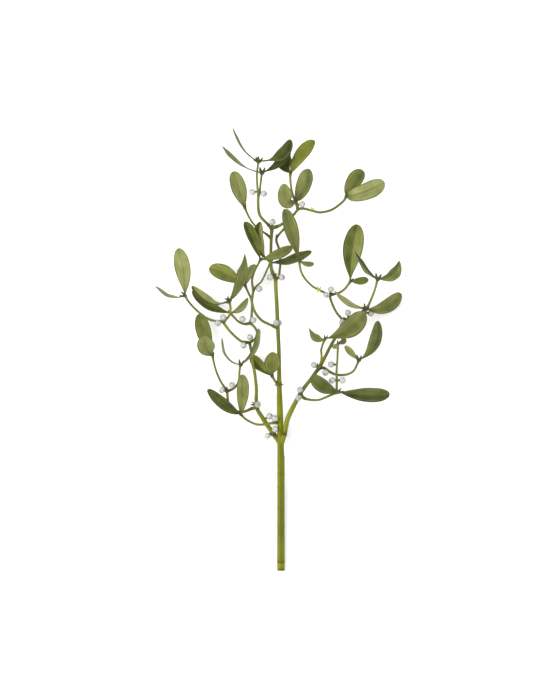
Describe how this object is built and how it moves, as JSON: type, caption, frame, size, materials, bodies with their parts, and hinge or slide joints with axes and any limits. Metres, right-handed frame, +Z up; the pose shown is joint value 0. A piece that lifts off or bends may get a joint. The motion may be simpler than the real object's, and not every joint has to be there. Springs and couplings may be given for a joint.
{
  "type": "mistletoe bunch",
  "caption": "Cut mistletoe stem with forked branches, paired spoon-shaped leaves and round white berries at the forks, lying on a surface",
  "frame": {"origin": "Middle of the bunch's box in plan, at the height of the surface that it lies on.", "axes": "+Y runs from the cut end to the tips, +X across the bunch to the right, and +Z up from the surface."},
  "size_m": [0.2985, 0.5322, 0.0644],
  "materials": {
    "stem": "satin",
    "leaf": "satin",
    "berry": "gloss"
  },
  "bodies": {
    "root": {"main_stem": "stem", "left_branch": "stem", "right_branch": "stem", "spray_crown_left": "leaf", "spray_crown_right": "leaf", "twig_crown_lower_left": "leaf", "spray_centre_left": "leaf", "twig_low_centre": "leaf", "twig_lower_left": "leaf", "spray_left_low": "leaf", "spray_left_outer": "leaf", "spray_left_inner": "leaf", "twig_left_inner": "leaf", "twig_right_centre": "leaf", "twig_right_upper": "leaf", "spray_right_outer": "leaf", "twig_right_middle": "leaf", "spray_right_low": "leaf", "twig_right_lower": "leaf", "berry_crown_left_a": "berry", "berry_crown_left_b": "berry", "berry_crown_fork": "berry", "berry_crown_right": "berry", "berry_leader_upper_a": "berry", "berry_leader_upper_b": "berry", "berry_centre_left_fork": "berry", "berry_right_upper_fork_a": "berry", "berry_right_upper_fork_b": "berry", "berry_left_outer_fork_a": "berry", "berry_left_outer_fork_b": "berry", "berry_left_inner_fork_a": "berry", "berry_left_inner_fork_b": "berry", "berry_leader_middle_a": "berry", "berry_leader_middle_b": "berry", "berry_left_branch_fork_a": "berry", "berry_left_branch_fork_b": "berry", "berry_left_low_fork_a": "berry", "berry_left_low_fork_b": "berry", "berry_left_branch_low": "berry", "berry_lower_left_a": "berry", "berry_lower_left_b": "berry", "berry_crotch_a": "berry", "berry_crotch_b": "berry", "berry_right_outer_fork_a": "berry", "berry_right_outer_fork_b": "berry", "berry_right_outer_node": "berry", "berry_right_middle_a": "berry", "berry_right_middle_b": "berry", "berry_right_middle_c": "berry", "berry_right_low_a": "berry", "berry_right_low_b": "berry", "berry_right_branch_low_a": "berry", "berry_right_branch_low_b": "berry"}
  },
  "joints": []
}
